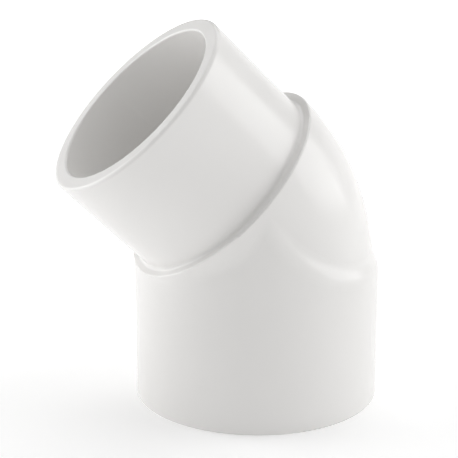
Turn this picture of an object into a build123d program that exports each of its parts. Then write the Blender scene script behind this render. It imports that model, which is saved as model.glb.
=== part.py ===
from build123d import *
import math
import os

os.makedirs("parts", exist_ok=True)

# 45 degree street elbow in rigid PVC, nominal 2 in size: a pipe socket below, a bend, a spigot above.
# Frame: millimetres. Z is the socket axis, Z = 0 is the rim the fitting stands on.
# The spigot leans towards -X in the plane Y = 0.

# driving dimensions
BEND_ANGLE = 45.0
HUB_OD = 69.4
HUB_WALL_HEIGHT = 36.4
SOCKET_BORE = 60.4
SOCKET_DEPTH = 29.2
ENTRY_CHAMFER = 0.5
RIM_EDGE_RADIUS = 0.5
RIM_BAND_HEIGHT = 3.0
STOP_EDGE_CHAMFER = 0.8
BEND_OD = 66.1
BORE = 51.5
AXES_CROSS_HEIGHT = 51.55
SHOULDER_FROM_CROSS = 16.2
SHOULDER_EDGE_RADIUS = 0.5
THROAT_EDGE_RADIUS = 2.0
HUB_CROWN_RADIUS = 8.9
SPIGOT_OD = 60.33
MOUTH_FROM_CROSS = 50.35
ROOT_FILLET = 1.0
NOSE_LENGTH = 3.0
MOUTH_OUTER_RADIUS = 1.0
MOUTH_INNER_RADIUS = 0.5

# seen from the side, the top of the hub is level at the back and sweeps up to the shoulder at the throat
CAP_LEVEL_END_X = 19.0
CAP_SWEEP_RADIUS = 19.5
CAP_SLOPE = 86.0
CAP_BLEND_RADIUS = 8.0

# working sizes: beyond the fitting in every direction, and the ends of the hub's cap before it is cut
CUTTER_SIZE = 400.0
CAP_BASE = 20.0
CAP_TOP = 85.0

# two lengths closer than this are the same, and an edge is judged at these fractions of its length
SAME = 0.01
ALONG_EDGE = (0.1, 0.5, 0.9)

hub_r = HUB_OD / 2
socket_r = SOCKET_BORE / 2
bend_r = BEND_OD / 2
bore_r = BORE / 2
spigot_r = SPIGOT_OD / 2
tangent_length = AXES_CROSS_HEIGHT - HUB_WALL_HEIGHT
bend_centre_r = tangent_length / math.tan(math.radians(BEND_ANGLE / 2))
bend_axis = Axis((-bend_centre_r, 0, HUB_WALL_HEIGHT), (0, -1, 0))

lean = math.radians(BEND_ANGLE)
spigot_direction = Vector(-math.sin(lean), 0, math.cos(lean))
axes_cross = Vector(0, 0, AXES_CROSS_HEIGHT)
bend_end = axes_cross + spigot_direction * tangent_length
shoulder_origin = axes_cross + spigot_direction * SHOULDER_FROM_CROSS
shoulder_plane = Plane(origin=shoulder_origin, x_dir=(0, 1, 0), z_dir=spigot_direction)
spigot_length = MOUTH_FROM_CROSS - SHOULDER_FROM_CROSS


def ring(outer, inner, bottom, top):
    """A plain ring on the socket axis."""
    height = top - bottom
    solid = Pos(0, 0, bottom) * Cylinder(outer, height, align=(Align.CENTER, Align.CENTER, Align.MIN))
    hole = Pos(0, 0, bottom) * Cylinder(inner, height, align=(Align.CENTER, Align.CENTER, Align.MIN))
    return solid - hole


def bent_rod(radius):
    """A rod that turns through the bend and runs straight on to the shoulder."""
    turn = revolve(Pos(0, 0, HUB_WALL_HEIGHT) * Circle(radius), bend_axis, BEND_ANGLE)
    straight = extrude(
        Plane(origin=bend_end, x_dir=(0, 1, 0), z_dir=spigot_direction) * Circle(radius),
        SHOULDER_FROM_CROSS - tangent_length,
    )
    return turn + straight


def circle_edges(shape, plane, radius, height):
    """The full circles of one radius at one height above a plane."""
    centre = plane.origin + plane.z_dir * height
    return [
        e
        for e in shape.edges().filter_by(GeomType.CIRCLE)
        if abs(e.radius - radius) < SAME and (e.arc_center - centre).length < SAME
    ]


def below(plane):
    """Everything on the side of a plane that its normal points away from."""
    return plane * Pos(0, 0, -CUTTER_SIZE / 2) * Box(CUTTER_SIZE, CUTTER_SIZE, CUTTER_SIZE)


def every_point(edge, fits):
    """Whether an edge fits all along its length."""
    return all(fits(edge.position_at(t)) for t in ALONG_EDGE)


def hub_wall_edges(shape, chosen):
    """The edges on the outer wall of the hub whose points are all chosen."""

    def fits(point):
        return abs(math.hypot(point.X, point.Y) - hub_r) < SAME and chosen(point)

    return [e for e in shape.edges() if every_point(e, fits)]


def corner(outline, x, y):
    """The corner of an outline at one place."""
    return [v for v in outline.vertices() if math.hypot(v.X - x, v.Y - y) < SAME]


# entry rim of the socket: the band the fitting stands on, with the lead-in chamfer for the pipe
rim = ring(hub_r, socket_r, 0, RIM_BAND_HEIGHT)
rim = chamfer(circle_edges(rim, Plane.XY, socket_r, 0), ENTRY_CHAMFER)
rim = fillet(circle_edges(rim, Plane.XY, hub_r, 0), RIM_EDGE_RADIUS)

# socket wall: the plain bore that holds the pipe
hub = ring(hub_r, socket_r, RIM_BAND_HEIGHT, SOCKET_DEPTH)

# pipe stop: the full-thickness ledge the cut end of the pipe comes up against
stop = ring(hub_r, bore_r, SOCKET_DEPTH, HUB_WALL_HEIGHT)
stop = chamfer(circle_edges(stop, Plane.XY, bore_r, SOCKET_DEPTH), STOP_EDGE_CHAMFER)

# bend: a tube turned through 45 degrees, its end face being the shoulder
tube = bent_rod(bend_r)
tube = fillet(circle_edges(tube, shoulder_plane, bend_r, 0), SHOULDER_EDGE_RADIUS)

# cap of the hub: its outer wall goes on above the floor to the swept top, and is rounded over into the bend
slope = math.radians(CAP_SLOPE)
cap_level = HUB_WALL_HEIGHT + HUB_CROWN_RADIUS


def sweep_point(angle):
    """A point on the arc that leads from the level part of the top to the slope."""
    return (
        CAP_LEVEL_END_X - CAP_SWEEP_RADIUS * math.sin(angle),
        cap_level + CAP_SWEEP_RADIUS * (1 - math.cos(angle)),
    )


slope_start = sweep_point(slope)
slope_end = (slope_start[0] - (CAP_TOP - slope_start[1]) / math.tan(slope), CAP_TOP)
cap_outline = [
    Line((CUTTER_SIZE / 2, cap_level), (CAP_LEVEL_END_X, cap_level)),
    ThreePointArc((CAP_LEVEL_END_X, cap_level), sweep_point(slope / 2), slope_start),
    Line(slope_start, slope_end),
    Polyline(
        slope_end,
        (-CUTTER_SIZE / 2, CAP_TOP),
        (-CUTTER_SIZE / 2, CAP_BASE),
        (CUTTER_SIZE / 2, CAP_BASE),
        (CUTTER_SIZE / 2, cap_level),
    ),
]
cap = extrude(Plane.XZ * make_face(cap_outline), CUTTER_SIZE / 2, both=True)
hub_blank = Cylinder(hub_r, CUTTER_SIZE, align=(Align.CENTER, Align.CENTER, Align.MIN))
cap = cap & (Pos(0, 0, CAP_BASE) * hub_blank)
top_edges = hub_wall_edges(cap, lambda p: cap_level - SAME < p.Z < CAP_TOP - SAME)
cap = fillet(top_edges, HUB_CROWN_RADIUS)
cap = cap & below(shoulder_plane)
cap = cap & below(Plane(origin=(0, 0, HUB_WALL_HEIGHT), z_dir=(0, 0, -1)))
throat_edges = hub_wall_edges(cap, lambda p: abs((p - shoulder_origin).dot(spigot_direction)) < SAME)
cap = fillet(throat_edges, THROAT_EDGE_RADIUS)

# the hollow line where the cap runs into the bend is blended over
outside = tube + cap


def in_hollow(point):
    """Inside the hub's outer wall, and clear of the rounded edge of the shoulder."""
    below_shoulder = (shoulder_origin - point).dot(spigot_direction)
    return math.hypot(point.X, point.Y) < hub_r - SAME and below_shoulder > THROAT_EDGE_RADIUS


hollow_line = [e for e in outside.edges().filter_by(GeomType.BSPLINE) if every_point(e, in_hollow)]
outside = fillet(hollow_line, CAP_BLEND_RADIUS)
bend = outside - bent_rod(bore_r)

# spigot: the size of the pipe itself, flared into the shoulder by a root fillet
spigot_axis = Axis(shoulder_origin, spigot_direction)
side_plane = Plane(origin=shoulder_origin, x_dir=(0, 1, 0), z_dir=(math.cos(lean), 0, math.sin(lean)))
nose_start = spigot_length - NOSE_LENGTH
flare_r = spigot_r + ROOT_FILLET
flare_mid = ROOT_FILLET * (1 - math.sqrt(0.5))
spigot_outline = [
    Line((bore_r, 0), (flare_r, 0)),
    ThreePointArc((flare_r, 0), (spigot_r + flare_mid, flare_mid), (spigot_r, ROOT_FILLET)),
    Line((spigot_r, ROOT_FILLET), (spigot_r, nose_start)),
    Line((spigot_r, nose_start), (bore_r, nose_start)),
    Line((bore_r, nose_start), (bore_r, 0)),
]
spigot = revolve(side_plane * make_face(spigot_outline), spigot_axis)

# nose of the spigot: the end face with its outer lead-in and its eased bore edge
nose_outline = make_face(
    Polyline(
        (bore_r, nose_start),
        (spigot_r, nose_start),
        (spigot_r, spigot_length),
        (bore_r, spigot_length),
        close=True,
    )
)
nose_outline = fillet(corner(nose_outline, spigot_r, spigot_length), MOUTH_OUTER_RADIUS)
nose_outline = fillet(corner(nose_outline, bore_r, spigot_length), MOUTH_INNER_RADIUS)
nose = revolve(side_plane * nose_outline, spigot_axis)

sections = {
    "socket_rim": rim,
    "socket_wall": hub,
    "pipe_stop": stop,
    "bend": bend,
    "spigot": spigot,
    "spigot_nose": nose,
}
for name, shape in sections.items():
    solid = shape.solid()
    solid.label = name
    export_step(solid, f"parts/{name}.step")
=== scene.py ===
import math

import bpy
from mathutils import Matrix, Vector

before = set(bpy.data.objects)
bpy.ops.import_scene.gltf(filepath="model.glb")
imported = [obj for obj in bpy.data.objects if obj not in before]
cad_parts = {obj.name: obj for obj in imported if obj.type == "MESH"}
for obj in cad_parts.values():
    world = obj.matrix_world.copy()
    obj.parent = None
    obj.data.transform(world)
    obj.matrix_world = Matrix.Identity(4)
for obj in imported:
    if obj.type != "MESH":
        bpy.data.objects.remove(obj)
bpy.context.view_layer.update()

# camera
CAMERA_AZIMUTH = -20.31
CAMERA_ELEVATION = 16.04
CAMERA_DISTANCE = 0.4011
CAMERA_TARGET = Vector((-0.0084, 0.0, 0.04907))
SENSOR_WIDTH = 36.0
FOCAL_LENGTH = 111.8
CLIP_START = 0.01

# floor and dome; the floor's glow goes from near to far between two distances from the origin, and the
# dome's brightness goes from horizon to dome between two heights of the unit direction
FLOOR_SIZE = 12.0
FLOOR_COLOUR = (0.93, 0.93, 0.93, 1.0)
FLOOR_ROUGHNESS = 0.8
NEAR_FLOOR_GLOW = 0.24
FAR_FLOOR_GLOW = 0.8
GLOW_STARTS = 0.3
GLOW_FULL = 0.7
DOME_BRIGHTNESS = 0.25
HORIZON_BRIGHTNESS = 1.0
HORIZON_TOP = 0.12
DOME_BOTTOM = 0.3
WHITE = (1.0, 1.0, 1.0, 1.0)

# softboxes: azimuth and elevation in degrees, power in watts
SOFTBOXES = {
    "left_back_softbox": (-125, 18, 2.1),
    "right_softbox": (76, 18, 1.3),
    "right_high_softbox": (70, 50, 0.6),
    "back_high_softbox": (150, 50, 0.9),
    "top_softbox": (70, 88, 0.95),
}
SOFTBOX_DISTANCE = 0.7
SOFTBOX_WIDTH = 0.5
SOFTBOX_HEIGHT = 0.4
SOFTBOX_AIM = Vector((-0.01, 0.0, 0.055))

# PVC: noise scales are in cycles per metre, bump heights in metres
PVC_IOR = 1.53
PVC_DARKER = (0.832, 0.821, 0.805, 1.0)
PVC_LIGHTER = (0.856, 0.846, 0.831, 1.0)
DRIFT_SCALE = 22.0
DRIFT_LOW, DRIFT_HIGH = 0.3, 0.7
WAVE_SCALE = 90.0
WAVE_LOW, WAVE_HIGH = 0.35, 0.65
WAVE_STRENGTH = 0.12
WAVE_HEIGHT = 0.00025
GLOSSIEST, DULLEST = 0.2, 0.27
GRAIN_SCALE = 2600.0
GRAIN_STRENGTH = 0.08
GRAIN_HEIGHT = 0.00002


def direction(azimuth, elevation):
    """The unit vector from the object towards a place at this azimuth and elevation, in degrees.
    Azimuth 0 is in front, at -Y, and 90 is on the +X side."""
    a, e = math.radians(azimuth), math.radians(elevation)
    return Vector((math.sin(a) * math.cos(e), -math.cos(a) * math.cos(e), math.sin(e)))


def aim(obj, place, target):
    """Puts obj at place with its -Z axis towards target."""
    obj.location = place
    obj.rotation_euler = (target - place).to_track_quat("-Z", "Y").to_euler()


def add_camera():
    data = bpy.data.cameras.new("camera")
    data.sensor_width = SENSOR_WIDTH
    data.lens = FOCAL_LENGTH
    data.clip_start = CLIP_START
    camera = bpy.data.objects.new("camera", data)
    bpy.context.scene.collection.objects.link(camera)
    place = CAMERA_TARGET + CAMERA_DISTANCE * direction(CAMERA_AZIMUTH, CAMERA_ELEVATION)
    aim(camera, place, CAMERA_TARGET)
    bpy.context.scene.camera = camera


def add_softbox(name, azimuth, elevation, power):
    data = bpy.data.lights.new(name, "AREA")
    data.shape = "RECTANGLE"
    data.size = SOFTBOX_WIDTH
    data.size_y = SOFTBOX_HEIGHT
    data.energy = power
    light = bpy.data.objects.new(name, data)
    bpy.context.scene.collection.objects.link(light)
    aim(light, SOFTBOX_AIM + SOFTBOX_DISTANCE * direction(azimuth, elevation), SOFTBOX_AIM)


def ramped(nodes, links, value, start, end, low, high):
    """A value that goes smoothly from low to high as another goes from start to end."""
    ramp = nodes.new("ShaderNodeMapRange")
    ramp.interpolation_type = "SMOOTHSTEP"
    for name, number in (("From Min", start), ("From Max", end), ("To Min", low), ("To Max", high)):
        ramp.inputs[name].default_value = number
    links.new(value, ramp.inputs["Value"])
    return ramp.outputs["Result"]


def material(name):
    made = bpy.data.materials.new(name)
    made.use_nodes = True
    made.node_tree.nodes.clear()
    return made, made.node_tree.nodes, made.node_tree.links


def noise(nodes, links, place, scale, detail):
    texture = nodes.new("ShaderNodeTexNoise")
    texture.inputs["Scale"].default_value = scale
    texture.inputs["Detail"].default_value = detail
    links.new(place, texture.inputs["Vector"])
    return texture.outputs["Fac"]


def bump(nodes, links, height, strength, distance):
    node = nodes.new("ShaderNodeBump")
    node.inputs["Strength"].default_value = strength
    node.inputs["Distance"].default_value = distance
    links.new(height, node.inputs["Height"])
    return node


def white_pvc():
    """Semi-gloss moulded PVC: an opaque warm white, with the faint waviness and grain of a moulded skin."""
    made, nodes, links = material("moulded_white_pvc")
    output = nodes.new("ShaderNodeOutputMaterial")
    shader = nodes.new("ShaderNodeBsdfPrincipled")
    links.new(shader.outputs["BSDF"], output.inputs["Surface"])
    shader.inputs["IOR"].default_value = PVC_IOR
    place = nodes.new("ShaderNodeTexCoord").outputs["Object"]

    # the colour drifts very slightly, as the resin flowed
    drift = noise(nodes, links, place, DRIFT_SCALE, 2.0)
    ramp = nodes.new("ShaderNodeValToRGB")
    darker, lighter = ramp.color_ramp.elements
    darker.position, darker.color = DRIFT_LOW, PVC_DARKER
    lighter.position, lighter.color = DRIFT_HIGH, PVC_LIGHTER
    links.new(drift, ramp.inputs["Fac"])
    links.new(ramp.outputs["Color"], shader.inputs["Base Color"])

    # the waviness of the skin also changes its gloss, and a fine grain lies over it
    wave = noise(nodes, links, place, WAVE_SCALE, 1.0)
    sheen = ramped(nodes, links, wave, WAVE_LOW, WAVE_HIGH, GLOSSIEST, DULLEST)
    links.new(sheen, shader.inputs["Roughness"])
    grain = noise(nodes, links, place, GRAIN_SCALE, 2.0)
    coarse = bump(nodes, links, wave, WAVE_STRENGTH, WAVE_HEIGHT)
    fine = bump(nodes, links, grain, GRAIN_STRENGTH, GRAIN_HEIGHT)
    links.new(coarse.outputs["Normal"], fine.inputs["Normal"])
    links.new(fine.outputs["Normal"], shader.inputs["Normal"])
    return made


def add_floor():
    made, nodes, links = material("pale_floor")
    output = nodes.new("ShaderNodeOutputMaterial")
    shader = nodes.new("ShaderNodeBsdfPrincipled")
    shader.inputs["Base Color"].default_value = FLOOR_COLOUR
    shader.inputs["Roughness"].default_value = FLOOR_ROUGHNESS
    shader.inputs["Emission Color"].default_value = WHITE
    # the floor glows more with distance, as the far part of a lit sweep does
    place = nodes.new("ShaderNodeTexCoord")
    distance = nodes.new("ShaderNodeVectorMath")
    distance.operation = "LENGTH"
    links.new(place.outputs["Object"], distance.inputs[0])
    away = distance.outputs["Value"]
    glow = ramped(nodes, links, away, GLOW_STARTS, GLOW_FULL, NEAR_FLOOR_GLOW, FAR_FLOOR_GLOW)
    links.new(glow, shader.inputs["Emission Strength"])
    links.new(shader.outputs["BSDF"], output.inputs["Surface"])
    bpy.ops.mesh.primitive_plane_add(size=FLOOR_SIZE, location=(0, 0, 0))
    floor = bpy.context.object
    floor.name = "floor"
    floor.data.materials.append(made)


def add_world():
    """A dim dome, brighter along the horizon."""
    world = bpy.data.worlds.new("studio")
    world.use_nodes = True
    nodes, links = world.node_tree.nodes, world.node_tree.links
    background = nodes["Background"]
    background.inputs["Color"].default_value = WHITE
    place = nodes.new("ShaderNodeTexCoord")
    split = nodes.new("ShaderNodeSeparateXYZ")
    links.new(place.outputs["Generated"], split.inputs["Vector"])
    height = split.outputs["Z"]
    strength = ramped(nodes, links, height, HORIZON_TOP, DOME_BOTTOM, HORIZON_BRIGHTNESS, DOME_BRIGHTNESS)
    links.new(strength, background.inputs["Strength"])
    bpy.context.scene.world = world


pvc = white_pvc()
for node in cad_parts.values():
    node.data.materials.clear()
    node.data.materials.append(pvc)

add_camera()
add_floor()
add_world()
for name, (azimuth, elevation, power) in SOFTBOXES.items():
    add_softbox(name, azimuth, elevation, power)
bpy.context.scene.view_settings.view_transform = "Standard"
